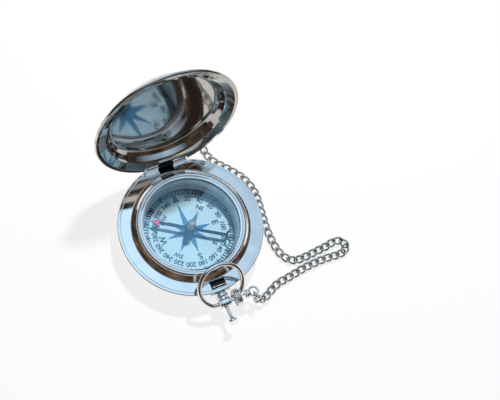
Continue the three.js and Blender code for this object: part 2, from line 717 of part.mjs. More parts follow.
function linkFrame(from, to, roll) {
  const x = to.clone().sub(from).normalize();
  const y = new THREE.Vector3(0, 0, 1).cross(x).normalize();
  const z = x.clone().cross(y);
  const middle = from.clone().add(to).multiplyScalar(0.5);
  return new THREE.Matrix4().makeBasis(x, y, z).setPosition(middle)
    .multiply(new THREE.Matrix4().makeRotationX(radians(roll)));
}

const linkRoll = (i) => (i % 2 ? -LINK_ROLL : LINK_ROLL);

function chainBody() {
  const joints = chainJoints();
  const link = linkBody();
  const parts = [];
  for (let i = 1; i < joints.length; i += 1) {
    parts.push(link.transform(linkFrame(joints[i - 1], joints[i], linkRoll(i)).elements));
  }
  return { body: wasm.Manifold.union(parts), joints };
}

// Bar at the chain's far end, lying level, with a small eye at its middle.
function chainBar(joints) {
  const half = BAR_LENGTH / 2;
  const spindle = turned([
    [0, -half], [BAR_RADIUS, -half], [BAR_RADIUS + 0.3, 0.7 - half], [BAR_RADIUS, 1.4 - half],
    [BAR_RADIUS - 0.2, -1.2], [BAR_RADIUS + 0.15, 0], [BAR_RADIUS - 0.2, 1.2],
    [BAR_RADIUS, half - 1.4], [BAR_RADIUS + 0.3, half - 0.7], [BAR_RADIUS, half], [0, half],
  ], 12);
  const last = joints.length - 1;
  const end = joints[last];
  const step = end.clone().sub(joints[last - 1]).normalize();
  const eye = new THREE.TorusGeometry(BAR_EYE_RADIUS, BAR_EYE_WIRE, 6, 16)
    .rotateX(-radians(linkRoll(last) + 90))
    .translate(BAR_EYE_RADIUS + BAR_RADIUS, 0, 0);
  const reach = 2 * BAR_EYE_RADIUS + BAR_RADIUS - BAR_EYE_WIRE - SEAM;
  const spot = end.clone().addScaledVector(step, reach);
  const place = new THREE.Matrix4().makeRotationZ(Math.atan2(step.y, step.x) + Math.PI).setPosition(spot);
  return solid(alongY(spindle)).add(solid(eye)).transform(place.elements);
}

// Assembly

const compass = new THREE.Group();

compass.add(piece('case_bowl', caseBowl(), nickel));
compass.add(piece('bezel_ring', bezelRing(), nickel));
compass.add(piece('crystal', crystal(), new THREE.MeshStandardMaterial({
  color: 0xe8f4fa, roughness: 0.03, metalness: 0, transparent: true, opacity: 0.25 })));
compass.add(piece('inner_ring', innerRing(), metal(0xb9c1c6, 0.3)));
compass.add(piece('dial_plate', dialPlate(), new THREE.MeshStandardMaterial({
  color: 0xf2f5f6, roughness: 0.5, metalness: 0 })));
compass.add(piece('pivot_post', pivotPost(), steel));

const needle = new THREE.Group();
needle.rotation.z = radians(NEEDLE_HEADING);
const bar = piece('needle_bar', needleBar(), metal(0x2c3f5c, 0.35));
bar.position.z = needleFoot;
needle.add(bar, piece('needle_cap', needleCap(), brass));
compass.add(needle);

// The lid turns about the hinge axis, so it hangs from a group placed there.
const lid = new THREE.Group();
lid.position.set(0, hingeY, hingeZ);
lid.rotation.x = radians(-LID_OPEN);
const shell = piece('lid_shell', lidShell(), nickel);
shell.position.set(0, -hingeY, -hingeZ);
lid.add(shell);
compass.add(lid);

compass.add(piece('hinge_lug_left', hingeLug(-1), nickel));
compass.add(piece('hinge_lug_right', hingeLug(1), nickel));
compass.add(piece('hinge_pin', rodX(PIN_RADIUS, -lugOuter, lugOuter, hingeY, hingeZ, 12), steel));
compass.add(piece('lift_spring', liftSpring(), steel));
compass.add(piece('latch_catch', latchCatch(), nickel));
compass.add(piece('pendant_neck', pendantNeck(), nickel));
compass.add(piece('pendant_barrel', pendantBarrel(), nickel));
compass.add(piece('push_rod', pushRod(), nickel));
compass.add(piece('push_button', pushButton(), nickel));

const pivot = new THREE.Group();
pivot.position.set(0, pendantY, pendantZ);
const bow = piece('bow', bowRing(), nickel);
bow.rotation.x = radians(BOW_LEAN);
pivot.add(bow, piece('clip_hook', clipHook(), nickel), piece('clip_swivel', clipSwivel(), nickel));
compass.add(pivot);

const { body: chain, joints } = chainBody();
compass.add(piece('chain', chain, nickel));
compass.add(piece('chain_bar', chainBar(joints), nickel));

export default compass;
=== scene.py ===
import math

import bpy
from mathutils import Matrix, Vector


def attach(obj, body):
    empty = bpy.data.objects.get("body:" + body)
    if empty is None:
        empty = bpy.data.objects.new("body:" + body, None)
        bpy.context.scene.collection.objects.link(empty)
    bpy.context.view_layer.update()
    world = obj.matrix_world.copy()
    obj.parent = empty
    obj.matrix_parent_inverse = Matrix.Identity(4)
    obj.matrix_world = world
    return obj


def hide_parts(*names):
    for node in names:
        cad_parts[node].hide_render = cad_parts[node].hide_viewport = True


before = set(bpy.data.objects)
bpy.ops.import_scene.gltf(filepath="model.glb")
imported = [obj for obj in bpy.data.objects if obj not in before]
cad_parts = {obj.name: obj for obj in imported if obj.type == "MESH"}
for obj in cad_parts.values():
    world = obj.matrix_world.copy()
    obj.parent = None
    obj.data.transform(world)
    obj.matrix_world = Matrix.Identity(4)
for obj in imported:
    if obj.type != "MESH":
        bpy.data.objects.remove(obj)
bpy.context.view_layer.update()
scene = bpy.context.scene
scene.view_settings.view_transform = "Standard"
mm = 0.001
pendantSpot = (0, -25.8, 6.2)  # bow's pivot
hingeSpot = (0, 21.4, 9.15)
swivelEye = {"middle": 9.6, "radius": 1.4}  # out from the bow's pivot
print("frame loaded:", len(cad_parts), "nodes")


# camera where the photo was taken from
cameraValues = {
    "place": (-0.06568, -0.076164, 0.253174),
    "right": (0.89256, -0.41169, 0.18400),
    "down": (-0.31975, -0.86553, -0.38551),
    "ahead": (0.31797, 0.28526, -0.90417),
    "lens": 62.31,
    "sensor": 36.0,
    "near": 0.01,
}


def addCamera(values):
    bpy.ops.object.camera_add()
    camera = bpy.context.object
    columns = (values["right"], [-n for n in values["down"]], [-n for n in values["ahead"]])
    turn = Matrix(columns).transposed().to_4x4()
    camera.matrix_world = Matrix.Translation(values["place"]) @ turn
    camera.data.lens = values["lens"]
    camera.data.sensor_width = values["sensor"]
    camera.data.clip_start = values["near"]
    scene.camera = camera


# selecting, placing and cutting

def clearSelection():
    active = bpy.context.object
    if active and active.mode != "OBJECT":
        bpy.ops.object.mode_set(mode="OBJECT")
    bpy.ops.object.select_all(action="DESELECT")


def choose(*pieces):
    clearSelection()
    for piece in pieces:
        piece.select_set(True)
    bpy.context.view_layer.objects.active = pieces[0]


def called(name):
    piece = bpy.context.object
    piece.name = name
    piece.data.name = name
    return piece


def settle(piece, turn=(0, 0, 0), spot=(0, 0, 0)):  # degrees and mm
    choose(piece)
    piece.rotation_euler = [math.radians(angle) for angle in turn]
    piece.location = [n * mm for n in spot]
    bpy.ops.object.transform_apply(location=True, rotation=True, scale=True)
    return piece


def applyModifiers(piece):
    choose(piece)
    for modifier in list(piece.modifiers):
        bpy.ops.object.modifier_apply(modifier=modifier.name)


def twin(piece):
    other = piece.copy()
    other.data = piece.data.copy()
    scene.collection.objects.link(other)
    return other


def combine(piece, tool, how):
    modifier = piece.modifiers.new(how.lower(), "BOOLEAN")
    modifier.operation = how
    modifier.solver = "EXACT"
    modifier.object = tool
    applyModifiers(piece)
    bpy.data.objects.remove(tool)
    return piece


def cut(piece, tool):
    return combine(piece, tool, "DIFFERENCE")


def fuse(piece, tool):
    return combine(piece, tool, "UNION")


def smooth(piece, angle=28):
    choose(piece)
    bpy.ops.object.shade_smooth_by_angle(angle=math.radians(angle))
    return piece


def weld(piece, gap=0.002):
    choose(piece)
    bpy.ops.object.mode_set(mode="EDIT")
    bpy.ops.mesh.select_all(action="SELECT")
    bpy.ops.mesh.remove_doubles(threshold=gap * mm)
    bpy.ops.mesh.normals_make_consistent(inside=False)
    bpy.ops.object.mode_set(mode="OBJECT")
    return piece


def easeEdges(piece, width, sharp):  # rounds the edges that turn by more than sharp degrees
    bevel = piece.modifiers.new("edge", "BEVEL")
    bevel.width = width * mm
    bevel.segments = 2
    bevel.limit_method = "ANGLE"
    bevel.angle_limit = math.radians(sharp)
    applyModifiers(piece)


def block(low, high, edge=0):  # a box between two corners
    clearSelection()
    middle = [(a + b) / 2 * mm for a, b in zip(low, high)]
    size = [(b - a) * mm for a, b in zip(low, high)]
    bpy.ops.mesh.primitive_cube_add(size=1, location=middle)
    piece = bpy.context.object
    piece.scale = size
    bpy.ops.object.transform_apply(location=True, rotation=True, scale=True)
    if edge:
        bpy.ops.object.mode_set(mode="EDIT")
        bpy.ops.mesh.select_all(action="SELECT")
        bpy.ops.mesh.bevel(offset=edge * mm, segments=3, affect="EDGES")
        bpy.ops.object.mode_set(mode="OBJECT")
    return piece


def rod(radius, start, end, axis, spot=(0, 0, 0), sides=32):  # round bar along an axis
    clearSelection()
    bpy.ops.mesh.primitive_cylinder_add(radius=radius * mm, depth=(end - start) * mm, vertices=sides)
    middle = list(spot)
    middle["XYZ".index(axis)] = (start + end) / 2
    turn = {"X": (0, 90, 0), "Y": (90, 0, 0), "Z": (0, 0, 0)}[axis]
    return settle(bpy.context.object, turn, middle)


# outlines, drawn by extruding one point along them

def softCorners(corners, steps=5, ease=0.05, most=0.45, flat=89):
    # corners are (radius, height, rounding); straight runs get a line near each end
    count = len(corners)
    points = []
    for i, corner in enumerate(corners):
        spot = Vector(corner[:2])
        size = corner[2] if len(corner) > 2 else 0
        if not size or i in (0, count - 1):
            points.append(spot)
            continue
        before = Vector(corners[i - 1][:2]) - spot
        after = Vector(corners[i + 1][:2]) - spot
        half = before.angle(after) / 2
        if half > math.radians(flat):
            points.append(spot)
            continue
        reach = min(size / math.tan(half), most * before.length, most * after.length)
        size = reach * math.tan(half)
        before.normalize()
        after.normalize()
        middle = spot + (before + after).normalized() * (size / math.sin(half))
        first = spot + before * reach - middle
        last = spot + after * reach - middle
        turn = first.angle_signed(last)
        for step in range(steps + 1):
            angle = -turn * step / steps
            ca, sa = math.cos(angle), math.sin(angle)
            points.append(middle + Vector((first.x * ca - first.y * sa, first.x * sa + first.y * ca)))
    eased = [points[0]]
    for a, b in zip(points, points[1:]):
        run = (b - a).length
        if run > 6 * ease:
            eased += [a.lerp(b, ease / run), b.lerp(a, ease / run)]
        eased.append(b)
    return [tuple(point) for point in eased]


def bothEnds(half, side):  # an outline alike at both ends, from (radius, distance, rounding)
    return [(0, -half)] + [(r, -far, ease) for r, far, ease in side] + side[::-1] + [(0, half)]


def ellipseArc(middle, radii, start, end, steps):
    angles = [math.radians(start + (end - start) * i / steps) for i in range(steps + 1)]
    return [(middle[0] + radii[0] * math.cos(a), middle[1] + radii[1] * math.sin(a)) for a in angles]


def domeArc(radius, rim, apex, steps):  # from the rim to the axis
    sag = apex - rim
    ball = (radius * radius + sag * sag) / (2 * sag)
    spots = [radius * (1 - i / steps) for i in range(steps + 1)]
    return [(r, apex - ball + math.sqrt(ball * ball - r * r)) for r in spots]


def drawLine(name, points):  # points in mm
    clearSelection()
    bpy.ops.mesh.primitive_plane_add(size=mm)
    piece = called(name)
    bpy.ops.object.mode_set(mode="EDIT")
    bpy.ops.mesh.select_all(action="SELECT")
    bpy.ops.mesh.merge(type="CENTER")
    bpy.ops.transform.translate(value=[n * mm for n in points[0]])
    for a, b in zip(points, points[1:]):
        move = [(q - p) * mm for p, q in zip(a, b)]
        bpy.ops.mesh.extrude_vertices_move(TRANSFORM_OT_translate={"value": move})
    bpy.ops.mesh.select_all(action="SELECT")
    bpy.ops.mesh.remove_doubles(threshold=0.0005 * mm)
    return piece


def turned(name, outline, steps=128, closed=False, turn=(0, 0, 0), spot=(0, 0, 0)):
    points = list(outline) + (list(outline[:1]) if closed else [])
    piece = drawLine(name, [(r, 0, h) for r, h in points])
    bpy.ops.mesh.select_all(action="SELECT")
    bpy.ops.mesh.spin(steps=steps, angle=2 * math.pi, center=(0, 0, 0), axis=(0, 0, 1))
    bpy.ops.object.mode_set(mode="OBJECT")
    weld(piece)
    return settle(piece, turn, spot)


def plate(name, outline, push, edge=0):  # a closed outline filled and given its thickness
    piece = drawLine(name, list(outline) + [outline[0]])
    bpy.ops.mesh.select_all(action="SELECT")
    bpy.ops.mesh.edge_face_add()
    move = [n * mm for n in push]
    bpy.ops.mesh.extrude_region_move(TRANSFORM_OT_translate={"value": move})
    bpy.ops.object.mode_set(mode="OBJECT")
    weld(piece, 0.0005)
    if edge:
        easeEdges(piece, edge, sharp=25)
    return piece


def smoothPath(points, count):  # a curve through the points, in count steps
    spots = [Vector(point) for point in points]
    spots = [2 * spots[0] - spots[1]] + spots + [2 * spots[-1] - spots[-2]]
    path = []
    for step in range(count + 1):
        along = (len(points) - 1) * step / count
        i = min(int(along), len(points) - 2)
        p0, p1, p2, p3 = spots[i:i + 4]
        pairs = ((p0, p1), (p1, p2), (p2, p3))
        d0, d1, d2 = (max((b - a).length_squared, 1e-12) ** 0.25 for a, b in pairs)
        t1 = ((p1 - p0) / d0 - (p2 - p0) / (d0 + d1) + (p2 - p1) / d1) * d1
        t2 = ((p2 - p1) / d1 - (p3 - p1) / (d1 + d2) + (p3 - p2) / d2) * d1
        t = along - i
        square = 3 * p2 - 3 * p1 - 2 * t1 - t2
        cube = 2 * p1 - 2 * p2 + t1 + t2
        path.append(p1 + t1 * t + square * t * t + cube * t ** 3)
    return path


def wire(name, points, radius, sides=5):  # round wire along a path
    clearSelection()
    bpy.ops.curve.primitive_nurbs_path_add()
    piece = called(name)
    line = piece.data
    line.splines.clear()
    run = line.splines.new("POLY")
    run.points.add(len(points) - 1)
    for spot, point in zip(run.points, points):
        spot.co = [n * mm for n in point] + [1]
    line.dimensions = "3D"
    line.bevel_depth = radius * mm
    line.bevel_resolution = sides
    line.use_fill_caps = True
    bpy.ops.object.convert(target="MESH")
    return weld(called(name), 0.0005)


def ringOf(radius, wireRadius, turn, spot, around=48, across=14):
    clearSelection()
    bpy.ops.mesh.primitive_torus_add(
        major_radius=radius * mm, minor_radius=wireRadius * mm,
        major_segments=around, minor_segments=across)
    return settle(bpy.context.object, turn, spot)


# finishes

def newFinish(name):
    finish = bpy.data.materials.new(name)
    finish.use_nodes = True
    finish.node_tree.nodes.clear()
    return finish, finish.node_tree


def addNode(tree, kind, **sockets):
    node = tree.nodes.new("ShaderNode" + kind)
    for socket, value in sockets.items():
        node.inputs[socket.replace("_", " ")].default_value = value
    return node


def join(tree, source, output, target, socket):
    tree.links.new(source.outputs[output], target.inputs[socket])


def objectSpace(tree, scale=(1, 1, 1)):
    spot = addNode(tree, "TexCoord")
    mapping = addNode(tree, "Mapping", Scale=scale)
    join(tree, spot, "Object", mapping, "Vector")
    return mapping


def noise(tree, mapping, scale, detail=3.0, rough=0.5):
    texture = addNode(tree, "TexNoise", Scale=scale, Detail=detail, Roughness=rough)
    join(tree, mapping, "Vector", texture, "Vector")
    return texture


def spread(tree, source, output, low, high, start, end):  # stretches a value to another range
    reach = addNode(tree, "MapRange", From_Min=low, From_Max=high, To_Min=start, To_Max=end)
    join(tree, source, output, reach, "Value")
    return reach


def blendColours(tree, amount, output, first, second):
    mix = tree.nodes.new("ShaderNodeMix")
    mix.data_type = "RGBA"
    tree.links.new(amount.outputs[output], mix.inputs[0])
    for socket, colour in ((mix.inputs[6], first), (mix.inputs[7], second)):
        if isinstance(colour, tuple):
            socket.default_value = (*colour, 1)
        else:
            tree.links.new(colour.outputs[2], socket)
    return mix


def finishOff(tree, shader):
    out = addNode(tree, "OutputMaterial")
    tree.links.new(shader.outputs[0], out.inputs["Surface"])


def metalFinish(name, values):
    finish, tree = newFinish(name)
    plain = objectSpace(tree)
    brushed = objectSpace(tree, values["grain"])
    smudge = noise(tree, plain, values["smudgeScale"], 4, 0.6)
    grain = noise(tree, brushed, values["grainScale"], 2)
    wave = noise(tree, plain, values["waveScale"], 1)
    worn = spread(tree, smudge, "Fac", *values["wornFrom"], 0, 1)
    colour = blendColours(tree, worn, "Result", values["tint"], values["dullTint"])
    shape = addNode(tree, "NewGeometry")
    edge = spread(tree, shape, "Pointiness", *values["edgeFrom"], 0, values["edgeWear"])
    colour = blendColours(tree, edge, "Result", colour, values["edgeTint"])
    gloss = spread(tree, smudge, "Fac", *values["glossFrom"], values["roughLow"], values["roughHigh"])
    metal = addNode(tree, "BsdfPrincipled", Metallic=values["metallic"])
    tree.links.new(colour.outputs[2], metal.inputs["Base Color"])
    join(tree, gloss, "Result", metal, "Roughness")
    sheet = addNode(tree, "Bump", Strength=1.0, Distance=values["waveDepth"] * mm)
    join(tree, wave, "Fac", sheet, "Height")
    lines = addNode(tree, "Bump", Strength=1.0, Distance=values["grainDepth"] * mm)
    join(tree, grain, "Fac", lines, "Height")
    join(tree, sheet, "Normal", lines, "Normal")
    join(tree, lines, "Normal", metal, "Normal")
    finishOff(tree, metal)
    return finish


def paintFinish(name, values):
    finish, tree = newFinish(name)
    plain = objectSpace(tree)
    cloud = noise(tree, plain, values["cloudScale"], 4, 0.6)
    grain = noise(tree, plain, values["grainScale"], 2)
    shaded = spread(tree, cloud, "Fac", *values["cloudFrom"], 0, 1)
    colour = blendColours(tree, shaded, "Result", values["tint"], values["shade"])
    gloss = spread(tree, grain, "Fac", *values["glossFrom"], values["roughLow"], values["roughHigh"])
    paint = addNode(tree, "BsdfPrincipled", Metallic=values["metallic"])
    tree.links.new(colour.outputs[2], paint.inputs["Base Color"])
    join(tree, gloss, "Result", paint, "Roughness")
    tooth = addNode(tree, "Bump", Strength=values["tooth"], Distance=values["grainDepth"] * mm)
    join(tree, grain, "Fac", tooth, "Height")
    join(tree, tooth, "Normal", paint, "Normal")
    finishOff(tree, paint)
    return finish


nickelValues = {
    "tint": (0.86, 0.85, 0.84), "dullTint": (0.80, 0.785, 0.77), "wornFrom": (0.38, 0.66),
    "edgeTint": (0.94, 0.93, 0.92), "edgeWear": 0.7, "edgeFrom": (0.52, 0.6), "metallic": 1.0,
    "smudgeScale": 160, "roughLow": 0.03, "roughHigh": 0.09, "glossFrom": (0.3, 0.75),
    "grain": (1, 1, 1), "grainScale": 2600, "grainDepth": 0.0006, "waveScale": 110, "waveDepth": 0.03,
}
# the lid's inside: the same nickel darkened, a painted shade for the dark surroundings it mirrors
lidInsideShadeValues = dict(
    nickelValues, tint=(0.50, 0.485, 0.465), dullTint=(0.44, 0.425, 0.405), waveScale=75, waveDepth=0.09)
# the chain's nickel at half the case's brightness: painted shade for the dark ground it lies on and mirrors;
# the dull patches are random
chainShadedNickelValues = dict(
    nickelValues, tint=(0.43, 0.41, 0.39), dullTint=(0.22, 0.205, 0.19), smudgeScale=420,
    roughLow=0.1, roughHigh=0.26, waveDepth=0.0, grainDepth=0.002)
satinValues = dict(
    nickelValues, tint=(0.94, 0.94, 0.93), dullTint=(0.84, 0.84, 0.83), metallic=0.95,
    roughLow=0.4, roughHigh=0.54, grain=(1, 1, 0.05), grainScale=700, grainDepth=0.06, waveDepth=0.0)
steelValues = dict(
    nickelValues, tint=(0.34, 0.36, 0.39), dullTint=(0.25, 0.26, 0.28), roughLow=0.22, roughHigh=0.4,
    grainDepth=0.003, waveDepth=0.0)
# near-black: painted shade in the hinge pocket, on the lid's tongue and knuckle and on the latch catch; the
# lift spring takes it too
nearBlackShadeValues = dict(
    nickelValues, tint=(0.014, 0.013, 0.012), dullTint=(0.009, 0.008, 0.008),
    edgeTint=(0.05, 0.047, 0.045), smudgeScale=300, roughLow=0.2, roughHigh=0.38,
    grainDepth=0.003, waveDepth=0.0)
brassValues = dict(
    nickelValues, tint=(0.72, 0.50, 0.42), dullTint=(0.58, 0.38, 0.31), edgeTint=(0.9, 0.78, 0.72),
    smudgeScale=700, roughLow=0.18, roughHigh=0.32, grain=(1, 1, 30), grainScale=300,
    grainDepth=0.003, waveDepth=0.0)

paintValues = {"metallic": 0.0, "cloudFrom": (0.35, 0.65), "glossFrom": (0.3, 0.7), "tooth": 0.6}
needleBlueValues = dict(
    paintValues, tint=(0.010, 0.028, 0.065), shade=(0.018, 0.022, 0.055), metallic=0.5,
    cloudScale=260, grainScale=2200, grainDepth=0.003, roughLow=0.25, roughHigh=0.42)
redPaintValues = dict(
    paintValues, tint=(0.76, 0.13, 0.20), shade=(0.66, 0.09, 0.15),
    cloudScale=500, grainScale=2400, grainDepth=0.004, roughLow=0.3, roughHigh=0.45)
# a pale dial with part of the crystal's sky reflection painted into its colour as a blue tint
dialWithSkyTintValues = dict(
    paintValues, tint=(0.63, 0.86, 0.96), shade=(0.58, 0.82, 0.93),
    cloudScale=220, grainScale=3200, grainDepth=0.004, roughLow=0.36, roughHigh=0.5)
starInkValues = dict(
    paintValues, tint=(0.05, 0.20, 0.41), shade=(0.06, 0.225, 0.45),
    cloudScale=420, grainScale=3000, grainDepth=0.003, roughLow=0.4, roughHigh=0.55)
figureInkValues = dict(starInkValues, tint=(0.02, 0.045, 0.07), shade=(0.03, 0.06, 0.085))
whiteInkValues = dict(dialWithSkyTintValues, tint=(0.86, 0.9, 0.92), shade=(0.8, 0.85, 0.88))

# shine tints the glass's reflection sky blue: a painted sky colour on top of what it mirrors
crystalValues = {
    "bend": 1.95, "tint": (0.98, 0.99, 1.0), "shine": (0.5, 0.82, 1.0),
    "smudgeScale": 180, "glossFrom": (0.45, 0.8), "roughHigh": 0.02,
}


def crystalFinish(name, values):
    finish, tree = newFinish(name)
    smudge = noise(tree, objectSpace(tree), values["smudgeScale"], 3)
    gloss = spread(tree, smudge, "Fac", *values["glossFrom"], 0, values["roughHigh"])
    clear = addNode(tree, "BsdfTransparent", Color=(*values["tint"], 1))
    shine = addNode(tree, "BsdfAnisotropic", Color=(*values["shine"], 1))
    join(tree, gloss, "Result", shine, "Roughness")
    mirror = addNode(tree, "Fresnel")
    shape = addNode(tree, "NewGeometry")
    bend = spread(tree, shape, "Backfacing", 0, 1, values["bend"], 1 / values["bend"])  # alike from both sides
    join(tree, bend, "Result", mirror, "IOR")
    mix = addNode(tree, "MixShader")
    tree.links.new(mirror.outputs[0], mix.inputs[0])
    tree.links.new(clear.outputs[0], mix.inputs[1])
    tree.links.new(shine.outputs[0], mix.inputs[2])
    finishOff(tree, mix)
    return finish


nickel = metalFinish("polishedNickel", nickelValues)
lidInsideShade = metalFinish("lidInsidePaintedShade", lidInsideShadeValues)
chainNickelPaintedShade = metalFinish("chainNickelPaintedShade", chainShadedNickelValues)
satin = metalFinish("satinWall", satinValues)
steel = metalFinish("springSteel", steelValues)
dark = metalFinish("nearBlackAndPaintedShade", nearBlackShadeValues)
brass = metalFinish("capBrass", brassValues)
blued = paintFinish("bluedNeedle", needleBlueValues)
redPaint = paintFinish("arrowRed", redPaintValues)
dialWithPaintedSkyTint = paintFinish("dialWithPaintedSkyTint", dialWithSkyTintValues)
starInk = paintFinish("starInk", starInkValues)
figureInk = paintFinish("figureInk", figureInkValues)
whiteInk = paintFinish("whiteInk", whiteInkValues)
glass = crystalFinish("crystalGlass", crystalValues)


def dress(piece, finish, body, slot, *replaced):
    piece.data.materials.clear()
    piece.data.materials.append(finish)
    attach(piece, body)
    if replaced:
        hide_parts(*replaced)
    return piece


def secondFinish(piece, finish, chosen):  # on the faces that chosen picks by place and normal
    piece.data.materials.append(finish)
    for face in piece.data.polygons:
        if chosen(face.center / mm, face.normal):
            face.material_index = len(piece.data.materials) - 1


addCamera(cameraValues)
print("camera set")


# chain of twisted oval links from the clip's eye, round the case and behind the lid, with a bar at its end
chainValues = {
    "linkLength": 4, "linkWidth": 2.9, "linkWire": 0.72, "pitch": 2.4534, "roll": 45, "twist": 100,
    "rest": 0.87, "endRest": 1.14, "around": 20, "across": 8, "pullFrom": 0.01, "routeSteps": 60,
    "hang": (0.25, -0.25, -0.935), "hangReach": 1.1, "eyeTurn": -85, "eyeGap": 0.7,
    "drop": [(10.9, -28.35, 2.62), (12.7, -28.4, 1.44)],
    "route": [
        (15.6, -27.1), (19, -25.4), (23.6, -24.8), (30.1, -23.8), (35.6, -23.5), (40.6, -23.7), (43.7, -24),
        (46.2, -21.8), (44.2, -19.2), (40.6, -19.8), (36, -20.2), (31.6, -20.6), (27.4, -20.4),
        (24.6, -17.2), (23.8, -11.6), (24.1, -6), (25, -0.4), (25.7, 5.2), (24.6, 10.4), (21.4, 15.3),
        (17.4, 20), (15.8, 24.6), (17.4, 29.2), (16.4, 32.6), (12, 33.6), (4, 33.2), (-4, 33), (-9, 34.4),
        (-9.6, 37.8), (-4.4, 39), (4, 39), (12, 39.2), (18, 39.8), (21.4, 42.2), (21.6, 46.5)],
}
barValues = {
    "half": 7.5, "radius": 0.65, "eyeRadius": 0.95, "eyeWire": 0.32, "eyeTurn": -45, "eyeReach": 1.93,
    "side": [  # radius, distance from the middle, rounding
        (0.52, 7.5, 0), (0.65, 7.35, 0.1), (0.95, 6.8, 0.3), (0.65, 6.1, 0.3), (0.45, 1.2, 0.5),
        (0.8, 0.35, 0.3)],
}


def chainJoints(values):
    turn = math.radians(values["eyeTurn"])
    hang = Vector(values["hang"]).normalized()
    start = Vector((
        swivelEye["middle"] + swivelEye["radius"] * math.cos(turn),
        pendantSpot[1] + swivelEye["radius"] * math.sin(turn),
        pendantSpot[2])) - hang * values["eyeGap"]
    route = [start, start + hang * values["pitch"] * values["hangReach"]] + values["drop"]
    route += [(x, y, values["rest"]) for x, y in values["route"][:-2]]
    route += [(x, y, values["endRest"]) for x, y in values["route"][-2:]]  # up to the bar's eye
    joints = [start]
    for spot in smoothPath(route, len(route) * values["routeSteps"]):
        gap = (spot - joints[-1]).length
        if gap >= values["pitch"]:
            joints.append(joints[-1].lerp(spot, values["pitch"] / gap))
    return joints


def linkPlace(a, b, roll):  # from one joint to the next, turned on its length
    along = (b - a).normalized()
    side = Vector((0, 0, 1)).cross(along).normalized()
    turn = Matrix((along, side, along.cross(side))).transposed().to_4x4()
    return Matrix.Translation((a + b) / 2 * mm) @ turn @ Matrix.Rotation(math.radians(roll), 4, "X")


def makeChain(values):
    joints = chainJoints(values)
    clearSelection()
    bend = (values["linkWidth"] - values["linkWire"]) / 2
    straight = (values["linkLength"] - values["linkWidth"]) / 2
    bpy.ops.mesh.primitive_torus_add(
        major_radius=bend * mm, minor_radius=values["linkWire"] / 2 * mm,
        major_segments=values["around"], minor_segments=values["across"])
    link = called("chain_links")
    for side in (-1, 1):  # pull the ends apart into an oval
        for vertex in link.data.vertices:
            vertex.select = vertex.co.x * side > values["pullFrom"] * mm
        for kind in (link.data.edges, link.data.polygons):
            for part in kind:
                part.select = all(link.data.vertices[i].select for i in part.vertices)
        bpy.ops.object.mode_set(mode="EDIT")
        bpy.ops.transform.translate(value=(side * straight * mm, 0, 0))
        bpy.ops.object.mode_set(mode="OBJECT")
    curb = twin(link)
    twist = curb.modifiers.new("twist", "SIMPLE_DEFORM")
    twist.deform_method = "TWIST"
    twist.deform_axis = "X"
    twist.angle = math.radians(values["twist"])
    applyModifiers(curb)
    roll = values["roll"]
    plain = {0: -roll, 1: roll, len(joints) - 2: -roll}  # no twist beside the clip and the bar
    links = []
    for i, (a, b) in enumerate(zip(joints, joints[1:])):
        links.append(twin(link if i in plain else curb))
        links[-1].matrix_world = linkPlace(a, b, plain.get(i, 0))
    bpy.data.objects.remove(link)
    bpy.data.objects.remove(curb)
    choose(*links)
    bpy.ops.object.transform_apply(location=True, rotation=True, scale=True)
    bpy.ops.object.join()
    return smooth(called("chain_links"), angle=60), joints


def makeBar(values, joints):
    step = (joints[-1] - joints[-2]).normalized()
    heading = math.degrees(math.atan2(step.y, step.x)) + 180
    outline = bothEnds(values["half"], values["side"])
    bar = turned("chain_end_bar", softCorners(outline), 32, turn=(90, 0, 0))
    eye = (values["eyeRadius"] + values["radius"], 0, 0)
    fuse(bar, ringOf(values["eyeRadius"], values["eyeWire"], (values["eyeTurn"], 0, 0), eye, 32, 10))
    settle(bar, (0, 0, heading), joints[-1] + step * values["eyeReach"])
    return smooth(bar)


chainPiece, joints = makeChain(chainValues)
# the chain and its bar take the darkened nickel, a painted shade
dress(chainPiece, chainNickelPaintedShade, "case", "chain_nickel", "chain")
barPiece = dress(makeBar(barValues, joints), chainNickelPaintedShade, "case", "chain_nickel", "chain_bar")
print("chain made:", len(joints) - 1, "links")


# case: bowl, flange, hinge pocket, latch slot
caseValues = {
    "backMiddle": (15.0, 4.4), "backRound": (4.6, 4.4),
    "outline": [  # radius, height, rounding
        (19.6, 6.9, 0.2), (22.5, 6.9, 0.3), (22.5, 8.0, 0.35),
        (21.69, 8.0, 0.06), (21.55, 7.82, 0.05), (21.41, 8.0, 0.06),  # line round the flange
        (18.5, 8.0, 0.06), (18.5, 7.45), (15.9, 7.45), (15.9, 1.4), (0, 1.4)],
    "pads": [  # under the hinge and the latch
        ((-4.2, 17.6, 5.2), (4.2, 21.9, 7.0), 0.25),
        ((-3.2, -22.6, 4.6), (3.2, -17.6, 7.0), 0.3)],
    "pocket": ((-2.4, 18.9, 6.1), (2.4, 21.7, 9)),
    "slots": [((-2.4, -21.7, 5.45), (2.4, -17.9, 7.0)), ((-2.4, -21.3, 6.9), (2.4, -18.65, 9))],
    "rodBore": (0.75, -23.6, -21.4),
    "dark": ((-2.45, 18.85, 6.05), (2.45, 21.75, 7.95)),  # painted shade: the hinge pocket and a little round it go near-black
}


def makeCase(values):
    back = ellipseArc(values["backMiddle"], values["backRound"], -90, 0, 14)
    case = turned("case_body", softCorners([(0, 0)] + back + values["outline"]), 144)
    for low, high, edge in values["pads"]:
        fuse(case, block(low, high, edge))
    for low, high in (values["pocket"], *values["slots"]):
        cut(case, block(low, high))
    cut(case, rod(*values["rodBore"], "Y", pendantSpot))
    return smooth(case)


